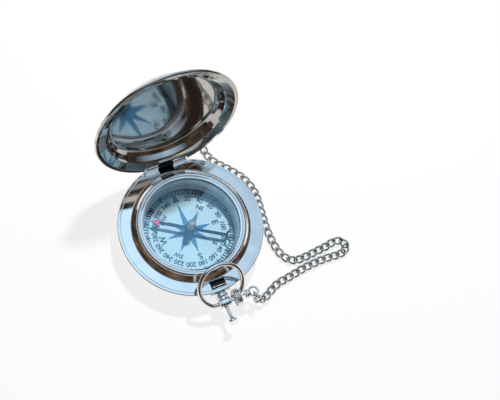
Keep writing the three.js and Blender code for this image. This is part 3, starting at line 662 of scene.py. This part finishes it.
# bezel: a slope up from the flange to a rounded ring with a fine line round it
bezelValues = {
    "outline": [
        (15.4, 7.55), (18.4, 7.55), (18.4, 8.0, 3), (17.575, 8.555, 3), (16.75, 9.35, 3),
        (16.62, 9.75, 0.25), (16.2, 9.95, 0.3),
        (15.84, 9.93, 0.08), (15.72, 9.81, 0.04), (15.6, 9.93, 0.08),  # fine line
        (15.3, 9.95, 0.25), (14.85, 9.8, 0.12), (14.85, 9.55), (15.4, 9.55)],
}
crystalShape = {
    "radius": 15.3, "edge": (8.7, 9.45), "outer": (14.65, 11.3), "inner": (13.9, 10.55), "rings": 18,
}
wallValues = {  # between crystal and dial, with a small ledge at its foot
    "outline": [
        (15.3, 2.6), (15.3, 8.6), (14.7, 8.6, 0.1), (14.55, 3.5, 0.1), (14.25, 3.3, 0.1), (14.25, 2.6)],
}


def makeBezel(values):
    return smooth(turned("bezel", softCorners(values["outline"]), 144, closed=True))


def makeCrystal(values):
    low, high = values["edge"]
    outline = domeArc(values["inner"][0], low, values["inner"][1], values["rings"])[::-1]
    outline += [(values["radius"], low), (values["radius"], high)]
    outline += domeArc(values["outer"][0], high, values["outer"][1], values["rings"])
    return smooth(turned("crystal_dome", outline, 128), angle=20)


def makeWall(values):
    return smooth(turned("inner_wall", softCorners(values["outline"]), 128, closed=True))


def inBox(spot, box):
    return all(low < n < high for n, low, high in zip(spot, *box))


case = dress(makeCase(caseValues), nickel, "case", "nickel", "case_bowl")
secondFinish(case, dark, lambda spot, normal: inBox(spot, caseValues["dark"]))  # painted shade: the hinge pocket near-black
dress(makeBezel(bezelValues), nickel, "case", "nickel", "bezel_ring")
dress(makeCrystal(crystalShape), glass, "case", "crystal", "crystal")
dress(makeWall(wallValues), satin, "case", "inner_metal", "inner_ring")
# the dial plate's colour carries a painted sky reflection
for carried, finish in (("dial_plate", dialWithPaintedSkyTint), ("pivot_post", steel), ("lift_spring", dark)):
    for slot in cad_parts[carried].material_slots:
        slot.material = finish
print("case made")


# dial print: star, letters, numbers and a track of blocks at the edge
printValues = {
    "face": 2.5, "thick": 0.02, "lift": 0.004, "bold": 0.028,
    "starTip": 7.55, "northTip": 10.2, "starValley": 2.6,
    "letters": 8.65, "bigLetter": 2.8, "smallLetter": 1.95,
    "numbers": 10.85, "numberSize": 2.1, "numberStep": 20,
    "trackInner": 12.75, "trackOuter": 14.2, "lineWide": 0.2, "barStep": 4, "barWide": 1.9,
    "wedgeInner": 12.1, "wedgeWide": 6.4, "wedgeLift": 0.008,
    "arrow": (10.3, 13.3), "arrowBase": 2.3, "arrowEdge": 0.45, "arrowSlant": 0.6,
}


def polar(radius, bearing):  # bearing is clockwise from north, which is +Y
    angle = math.radians(90 - bearing)
    return radius * math.cos(angle), radius * math.sin(angle)


def inkShape(name, flat, values, lift="lift"):
    low = values["face"] + values[lift]
    return plate(name, [(x, y, low) for x, y in flat], (0, 0, values["thick"]))


def inkText(words, size, radius, bearing, values):
    clearSelection()
    bpy.ops.object.text_add()
    label = bpy.context.object
    label.data.body = words
    label.data.size = size * mm
    label.data.align_x = "CENTER"
    label.data.align_y = "CENTER"
    label.data.resolution_u = 4
    label.data.offset = values["bold"] * size * mm
    label.data.extrude = values["thick"] / 2 * mm
    bpy.ops.object.convert(target="MESH")
    x, y = polar(radius, bearing)
    height = values["face"] + values["thick"]
    return settle(weld(bpy.context.object, 0.0002), (0, 0, -bearing), (x, y, height))


def joined(name, pieces):
    choose(*pieces)
    bpy.ops.object.join()
    return called(name)


def makeStar(values):
    radii = [values["starTip"], values["starValley"]] * 8
    radii[0] = values["northTip"]
    flat = [polar(r, 360 / len(radii) * i) for i, r in enumerate(radii)]
    return inkShape("dial_star", flat, values)


def makeFigures(values):
    points = ["NE", "E", "SE", "S", "SW", "W", "NW"]  # north has its own mark
    labels = []
    for i, words in enumerate(points):
        size = values["bigLetter"] if len(words) == 1 else values["smallLetter"]
        labels.append(inkText(words, size, values["letters"], 45 * (i + 1), values))
    for bearing in range(values["numberStep"], 360, values["numberStep"]):
        labels.append(inkText(str(bearing), values["numberSize"], values["numbers"], bearing, values))
    return joined("dial_figures", labels)


def makeTrack(values):
    parts = []
    inner, outer, line = values["trackInner"], values["trackOuter"], values["lineWide"]
    low = values["face"] + values["lift"]
    high = low + values["thick"]
    for r in (inner, outer - line):  # two fine rings with bars between them
        ring = [(r, low), (r + line, low), (r + line, high), (r, high)]
        parts.append(turned("ring", ring, 128, closed=True))
    for bearing in range(0, 360, values["barStep"]):
        wide = values["barWide"] / 2
        flat = [polar(inner, bearing - wide), polar(inner, bearing + wide),
                polar(outer, bearing + wide), polar(outer, bearing - wide)]
        parts.append(inkShape("bar", flat, values))
    for bearing in range(values["numberStep"], 360, values["numberStep"]):
        wide = values["wedgeWide"] / 2
        flat = [polar(values["wedgeInner"], bearing),
                polar(outer, bearing + wide), polar(outer, bearing - wide)]
        parts.append(inkShape("wedge", flat, values, "wedgeLift"))
    return joined("dial_track", parts)


def makeNorth(values):
    inner, outer = values["arrow"]
    half = values["arrowBase"] / 2
    return inkShape("dial_north", [(-half, inner), (half, inner), (0, outer)], values)


def makeNorthEdge(values):
    inner, outer = values["arrow"]
    half, wide = values["arrowBase"] / 2, values["arrowEdge"]
    flat = [(half, inner), (half + wide, inner), (wide * values["arrowSlant"], outer), (0, outer)]
    return inkShape("dial_north_edge", flat, values)


dress(makeStar(printValues), starInk, "case", "dial")
dress(makeFigures(printValues), figureInk, "case", "dial")
dress(makeTrack(printValues), figureInk, "case", "dial")
dress(makeNorth(printValues), starInk, "case", "dial")
dress(makeNorthEdge(printValues), whiteInk, "case", "dial")
print("dial printed")


# needle with an arrowhead and a crescent tail, and its cap
needleValues = {
    "heading": 148.5, "low": 4.9, "high": 5.15, "edge": 0.03, "bar": 0.5, "hub": 1.75, "hole": 0.85,
    "tip": 12.6, "arrowBack": 9.2, "arrowHalf": 1.55, "arrowNotch": 0.5,
    "belly": 11.19, "horn": 13.49, "hornHalf": 2.4, "tailThick": 0.75,
    "outerBend": (0.2, 1.8), "innerBend": 1.44,
    "paint": (12.312, 9.32, 1.334), "paintThick": 0.025,  # tip, back, half width
}
capValues = {
    "outline": [
        (0, 9.25), (0.85, 8.85), (0.85, 5.2), (1.25, 5.2, 0.1), (1.25, 9.45, 0.05), (1.13, 9.53, 0.05),
        (1.15, 9.95, 0.15), (0.85, 9.95, 0.08), (0.7, 9.75, 0.08), (0, 9.75)],
}


def bentLine(start, bend, end, steps=8):
    spots = []
    for i in range(1, steps + 1):
        t = i / steps
        shares = ((1 - t) ** 2, 2 * t * (1 - t), t * t)
        spots.append(tuple(sum(n * s for n, s in zip(ns, shares)) for ns in zip(start, bend, end)))
    return spots


def makeNeedle(values):
    bar, hub, belly, horn = values["bar"], values["hub"], values["belly"], values["horn"]
    back, half, hollow = values["arrowBack"], values["hornHalf"], values["belly"] + values["tailThick"]
    out, up = values["outerBend"]
    turn = math.degrees(math.asin(bar / hub))
    side = [(values["tip"], 0), (back, values["arrowHalf"]), (back + values["arrowNotch"], bar)]
    side += ellipseArc((0, 0), (hub, hub), turn, 180 - turn, 16)
    side += [(-belly, bar)]
    side += bentLine((-belly, bar), (-belly - out, up), (-horn, half))
    side += bentLine((-horn, half), (-hollow, values["innerBend"]), (-hollow, 0))
    mirror = [(x, -y) for x, y in side[-2:0:-1]]
    outline = [(x, y, values["low"]) for x, y in side + mirror]
    needle = plate("needle_blade", outline, (0, 0, values["high"] - values["low"]), values["edge"])
    cut(needle, rod(values["hole"], values["low"] - 1, values["high"] + 1, "Z"))
    return smooth(settle(needle, (0, 0, values["heading"])))


def makeArrowPaint(values):
    tip, back, half = values["paint"]
    flat = [(tip, 0), (back, half), (back + values["arrowNotch"], 0), (back, -half)]
    paint = plate("needle_paint", [(x, y, values["high"]) for x, y in flat], (0, 0, values["paintThick"]))
    return settle(paint, (0, 0, values["heading"]))


def makeCap(values):
    return smooth(turned("needle_hub_cap", softCorners(values["outline"]), 48))


dress(makeNeedle(needleValues), blued, "needle", "needle_blue", "needle_bar")
dress(makeArrowPaint(needleValues), redPaint, "needle", "needle_blue")
dress(makeCap(capValues), brass, "needle", "cap_brass", "needle_cap")
print("needle made")


# lid, modelled shut and then opened on its hinge
lidValues = {
    "open": 98.8, "floor": (16.8, 12.3, 12.7, 7), "crown": (18.2, 12.9, 14.6, 8),  # radius, rim, apex, rings
    "outline": [  # from the floor's edge out round the rim and up to the crown
        (16.8, 12.3, 1.2), (17.8, 11.3, 1.0), (18.6, 9.7, 0.2), (19.0, 9.3, 0.3), (21.2, 8.3, 0.5),
        (22.2, 8.3, 0.15), (22.5, 8.6, 0.15), (22.5, 9.1, 0.3), (20.4, 10.5, 0.8), (19.35, 10.9, 0.6),
        (18.8, 11.6, 0.6), (18.2, 12.9, 1.0)],
    "notch": ((-7.1, 19.9, 7), (7.1, 24, 15)), "tongue": ((-2.2, 19.0, 8.45), (2.2, 21.4, 9.7)),
    "knuckle": (0.95, -2.2, 2.2), "heel": ((-2.2, 20.55, 9.15), (2.2, 22.25, 10.4)), "pinBore": (0.6, -4, 4),
    "latchRoom": [((-2.6, -20.75, 7.5), (2.6, -17.3, 8.85)), ((-2.6, -21.4, 8.75), (2.6, -17.3, 9.5))],
    "dark": ((-2.25, 0, 0), (2.25, 23.4, 11.0)),  # tongue and knuckle, near-black as painted shade
}
lugValues = {
    "length": 4.2, "inner": 2.5, "foot": (20.45, 21.5, 8.05), "radius": 0.95, "hole": 0.5, "edge": 0.12,
}
pinValues = {"half": 6.7, "side": [(0.22, 6.67, 0), (0.4, 6.58, 0.05)]}


def makeLid(values):
    floorArc = domeArc(*values["floor"])[::-1]
    crownArc = domeArc(*values["crown"])
    middle = softCorners([floorArc[-2]] + values["outline"] + [crownArc[1]])
    lid = turned("lid_cover", floorArc[:-2] + middle + crownArc[2:], 140)
    cut(lid, block(*values["notch"]))
    fuse(lid, block(*values["tongue"]))
    fuse(lid, rod(*values["knuckle"], "X", hingeSpot))
    fuse(lid, block(*values["heel"]))
    cut(lid, rod(*values["pinBore"], "X", hingeSpot))
    for low, high in values["latchRoom"]:
        cut(lid, block(low, high))
    settle(lid, spot=[-n for n in hingeSpot])
    settle(lid, (-values["open"], 0, 0), hingeSpot)
    return smooth(lid)


def makeLug(values):
    start, end = values["inner"], values["inner"] + values["length"]
    front, back, low = values["foot"]
    lug = block((start, front, low), (end, back, hingeSpot[2]))
    fuse(lug, rod(values["radius"], start, end, "X", hingeSpot))
    cut(lug, rod(values["hole"], start - 1, end + 1, "X", hingeSpot))
    easeEdges(lug, values["edge"], sharp=50)
    lug.name = "hinge_lug_east"
    return smooth(lug)


def makePin(values):
    outline = softCorners(bothEnds(values["half"], values["side"]))
    return smooth(turned("hinge_rod", outline, 24, turn=(0, 90, 0), spot=hingeSpot))


lid = dress(makeLid(lidValues), nickel, "lid", "nickel", "lid_shell")
shutTurn = Matrix.Rotation(math.radians(lidValues["open"]), 3, "X")
secondFinish(lid, lidInsideShade, lambda spot, normal: (shutTurn @ normal).z < 0)  # painted shade: the lid's inside darker than its outside
# painted shade: the tongue and knuckle near-black
secondFinish(lid, dark, lambda spot, normal: inBox(spot, lidValues["dark"]))
eastLug = makeLug(lugValues)
westLug = twin(eastLug)
westLug.name = "hinge_lug_west"
settle(westLug, spot=(-2 * lugValues["inner"] - lugValues["length"], 0, 0))
dress(eastLug, nickel, "case", "nickel", "hinge_lug_right")
dress(westLug, nickel, "case", "nickel", "hinge_lug_left")
dress(makePin(pinValues), steel, "case", "steel", "hinge_pin")
print("lid and hinge made")


# latch catch: plate under the flange, upright and nose
catchValues = {
    "half": 2.1, "plate": (-21.4, -19.2, 5.65, 6.7), "upright": (-20.45, -19.85),
    "nose": (-21.1, 8.9, 9.3), "noseSlope": 0.25, "edge": 0.06, "front": -0.3,
}


def makeCatch(values):
    outer, inner, low, high = values["plate"]
    front, back = values["upright"]
    tip, noseLow, noseHigh = values["nose"]
    side = [(outer, low), (inner, low), (inner, high), (back, high), (back, noseHigh),
            (tip + values["noseSlope"], noseHigh), (tip, noseLow),
            (front, noseLow), (front, high), (outer, high)]
    outline = [(-values["half"], y, z) for y, z in side]
    return smooth(plate("latch_hook", outline, (2 * values["half"], 0, 0), values["edge"]))


# pendant: neck, cross barrel, rod and flared button; heights run out towards the front
neckValues = {
    "outline": [
        (0.75, 22.65), (1.9, 22.65, 0.08), (1.65, 23.0, 0.15), (1.65, 23.2, 0.1), (2.05, 23.4, 0.15),
        (2.05, 23.95, 0.15), (1.5, 24.15, 0.12), (1.5, 25.8), (0.75, 25.8)],
    "saddle": (1.7, -5, 5),
}
barrelValues = {
    "half": 1.9, "bore": (0.75, -29, -22), "sockets": [(0.8, -2.9, -1.05), (0.8, 1.05, 2.9)],
    "side": [(1.15, 1.9, 0.1), (1.45, 1.7, 0.08), (1.45, 1.45, 0.06), (1.2, 1.3, 0.08), (1.6, 1.1, 0.12)],
}
rodValues = {"outline": [(0, 21.5), (0.55, 21.5, 0.1), (0.55, 30.35, 0.05), (0, 30.35)]}
buttonValues = {
    "outline": [
        (0, 30.4), (0.55, 30.4), (0.75, 30.85, 0.4), (1.4, 31.5, 0.3), (1.4, 32.0, 0.2), (1.0, 32.3, 0.3),
        (0, 32.3)],
}


def turnedOut(name, outline, steps, closed=False):
    return turned(name, softCorners(outline), steps, closed, (90, 0, 0), (0, 0, pendantSpot[2]))


def makeNeck(values):
    neck = turnedOut("pendant_stem", values["outline"], 48, closed=True)
    cut(neck, rod(*values["saddle"], "X", pendantSpot, 48))
    return smooth(neck)


def makeBarrel(values):
    outline = softCorners(bothEnds(values["half"], values["side"]))
    barrel = turned("pendant_cross", outline, 48, turn=(0, 90, 0), spot=pendantSpot)
    cut(barrel, rod(*values["bore"], "Y", pendantSpot))
    for socket in values["sockets"]:
        cut(barrel, rod(*socket, "X", pendantSpot))
    return smooth(barrel)


def makeRod(values):
    return smooth(turnedOut("push_shaft", values["outline"], 32))


def makeButton(values):
    return smooth(turnedOut("push_cap", values["outline"], 48))


bowValues = {
    "lean": 46, "radius": 7.0, "reach": 6.1, "wire": 0.68, "sides": 6, "stub": (1.2, 2.25), "gap": 4,
    "bends": 26, "steps": 180,
}


def makeBow(values):
    radius, reach = values["radius"], values["reach"]
    gap = math.acos(reach / radius) + math.radians(values["gap"])
    points = [(-x, 0, 0) for x in values["stub"]]
    for i in range(values["bends"] + 1):
        a = gap + (2 * math.pi - 2 * gap) * i / values["bends"]
        points.append((-radius * math.sin(a), reach - radius * math.cos(a), 0))
    points += [(x, 0, 0) for x in values["stub"][::-1]]
    bow = wire("bow_ring", smoothPath(points, values["steps"]), values["wire"], values["sides"])
    return smooth(settle(bow, (values["lean"], 0, 0), pendantSpot), angle=50)


# clip: coiled loop, arm and collar, then a swivel with its eye
clipValues = {
    "loopX": 4.1, "loop": 2.6, "turns": 3, "turnSteps": 32, "coilPitch": 0.62, "wire": 0.3, "down": -75,
    "armBend": (1.1, 0.55, -2.15), "armEnd": (6.7, 0.2, -0.7), "armSteps": 24,
    "collar": [(0, 6.45), (1.5, 6.45, 0.12), (1.5, 6.95, 0.12), (0, 6.95)],
}
swivelValues = {
    "outline": [
        (0, 7.15), (1.5, 7.15, 0.1), (1.5, 7.55, 0.1), (1.1, 7.65, 0.05), (1.1, 7.9, 0.05), (1.5, 8.0, 0.1),
        (1.4, 8.3, 0.2), (0.6, 8.5, 0.2), (0.5, 8.2, 0.1), (0, 8.2)],
    "eyeWire": 0.4,
}


def makeHook(values):
    r, turns, steps = values["loop"], values["turns"], values["turnSteps"]
    down = math.radians(values["down"])
    coil = []
    for i in range(turns * steps + 1):  # ends where the arm starts
        turn = down + 2 * math.pi * (i / steps - turns)
        x = values["loopX"] - values["coilPitch"] * (turns / 2 - i / steps)
        coil.append((x, r * math.cos(turn), r * math.sin(turn)))
    hook = wire("coil", coil, values["wire"])
    out, side, up = values["armBend"]
    arm = [coil[-1], (coil[-1][0] + out, side, up), values["armEnd"]]
    fuse(hook, wire("arm", smoothPath(arm, values["armSteps"]), values["wire"]))
    fuse(hook, turned("collar", softCorners(values["collar"]), 32, turn=(0, 90, 0)))
    hook.name = "clip_loop"
    settle(hook, spot=pendantSpot)
    return smooth(hook, angle=40)


def makeSwivel(values):
    swivel = turned("clip_swivel_eye", softCorners(values["outline"]), 32, turn=(0, 90, 0))
    eye = (swivelEye["middle"], 0, 0)
    fuse(swivel, ringOf(swivelEye["radius"], values["eyeWire"], (0, 0, 0), eye, 40, 12))
    settle(swivel, spot=pendantSpot)
    return smooth(swivel, angle=40)


catch = dress(makeCatch(catchValues), nickel, "catch", "nickel", "latch_catch")
secondFinish(catch, dark, lambda spot, normal: normal.y > catchValues["front"])  # painted shade: all but the front faces near-black, as in the shaded slot
dress(makeNeck(neckValues), nickel, "case", "nickel", "pendant_neck")
dress(makeBarrel(barrelValues), nickel, "case", "nickel", "pendant_barrel")
dress(makeRod(rodValues), nickel, "plunger", "nickel", "push_rod")
dress(makeButton(buttonValues), nickel, "plunger", "nickel", "push_button")
dress(makeBow(bowValues), nickel, "bow", "nickel", "bow")
dress(makeHook(clipValues), nickel, "case", "nickel", "clip_hook")
dress(makeSwivel(swivelValues), nickel, "case", "nickel", "clip_swivel")
print("pendant, bow and clip made")


# pale floor, sky overhead, one small lamp from behind on the right
floorValues = {"size": 3.0, "tint": (0.86, 0.86, 0.86), "white": 0.82}
skyValues = {
    "strength": 1.0, "fill": (0.12, 0.125, 0.13), "backdrop": (0.96, 0.96, 0.96),
    "dark": (0.04, 0.027, 0.02), "warm": (0.21, 0.148, 0.103), "patchScale": 2.6, "patchFrom": (0.45, 0.72),
    "middle": (0.26, 0.36, 0.9), "skyFrom": (0.52, 0.86),
    "west": (0.70, 1.00, 1.26), "east": (0.49, 0.68, 0.88), "eastFrom": (0.19, 0.33),
}
lampValues = {
    "spot": (0.120, 0.150, 0.372), "aim": (0, 0, 0.005), "size": 0.03, "power": 1.9, "tint": (1.0, 0.98, 0.95),
}


def seenRays(tree):  # 1 for what is looked at, mirrored or seen through glass
    path = addNode(tree, "LightPath")
    seen = addNode(tree, "Math")
    seen.operation = "MAXIMUM"
    join(tree, path, "Is Camera Ray", seen, 0)
    join(tree, path, "Is Glossy Ray", seen, 1)
    also = addNode(tree, "Math")
    also.operation = "MAXIMUM"
    join(tree, seen, "Value", also, 0)
    join(tree, path, "Is Transmission Ray", also, 1)
    return also


def makeFloor(values):
    clearSelection()
    bpy.ops.mesh.primitive_plane_add(size=values["size"])
    floor = called("floor")
    finish, tree = newFinish("paleFloor")
    lit = addNode(tree, "BsdfDiffuse", Color=(*values["tint"], 1))
    glow = addNode(tree, "Emission", Color=(1, 1, 1, 1), Strength=1.0)
    amount = addNode(tree, "Math")
    amount.operation = "MULTIPLY"
    join(tree, seenRays(tree), "Value", amount, 0)
    amount.inputs[1].default_value = values["white"]
    mix = addNode(tree, "MixShader")
    tree.links.new(amount.outputs[0], mix.inputs[0])
    tree.links.new(lit.outputs[0], mix.inputs[1])
    tree.links.new(glow.outputs[0], mix.inputs[2])
    finishOff(tree, mix)
    floor.data.materials.append(finish)


def makeSky(values):
    world = bpy.data.worlds.new("sky")
    scene.world = world
    world.use_nodes = True
    tree = world.node_tree
    tree.nodes.clear()
    look = addNode(tree, "TexCoord")
    rising = addNode(tree, "VectorMath")
    rising.operation = "DOT_PRODUCT"
    rising.inputs[1].default_value = Vector(values["middle"]).normalized()
    join(tree, look, "Generated", rising, 0)
    patch = addNode(tree, "TexNoise", Scale=values["patchScale"], Detail=3.0)
    join(tree, look, "Generated", patch, "Vector")
    warm = spread(tree, patch, "Fac", *values["patchFrom"], 0, 1)
    room = blendColours(tree, warm, "Result", values["dark"], values["warm"])
    split = addNode(tree, "SeparateXYZ")
    join(tree, look, "Generated", split, 0)
    east = spread(tree, split, "X", *values["eastFrom"], 0, 1)
    sky = blendColours(tree, east, "Result", values["west"], values["east"])
    edge = spread(tree, rising, "Value", *values["skyFrom"], 0, 1)
    whole = blendColours(tree, edge, "Result", room, sky)
    whole = blendColours(tree, seenRays(tree), "Value", values["fill"], whole)
    whole = blendColours(tree, addNode(tree, "LightPath"), "Is Camera Ray", whole, values["backdrop"])
    light = addNode(tree, "Background", Strength=values["strength"])
    tree.links.new(whole.outputs[2], light.inputs["Color"])
    out = addNode(tree, "OutputWorld")
    join(tree, light, "Background", out, "Surface")


def addLamp(values):
    clearSelection()
    bpy.ops.object.light_add(type="AREA", location=values["spot"])
    lamp = bpy.context.object
    lamp.data.size = values["size"]
    lamp.data.energy = values["power"]
    lamp.data.color = values["tint"]
    lamp.visible_glossy = False
    ahead = Vector(values["aim"]) - Vector(values["spot"])
    lamp.rotation_euler = ahead.to_track_quat("-Z", "Y").to_euler()


makeFloor(floorValues)
makeSky(skyValues)
addLamp(lampValues)
print("stage and light set")
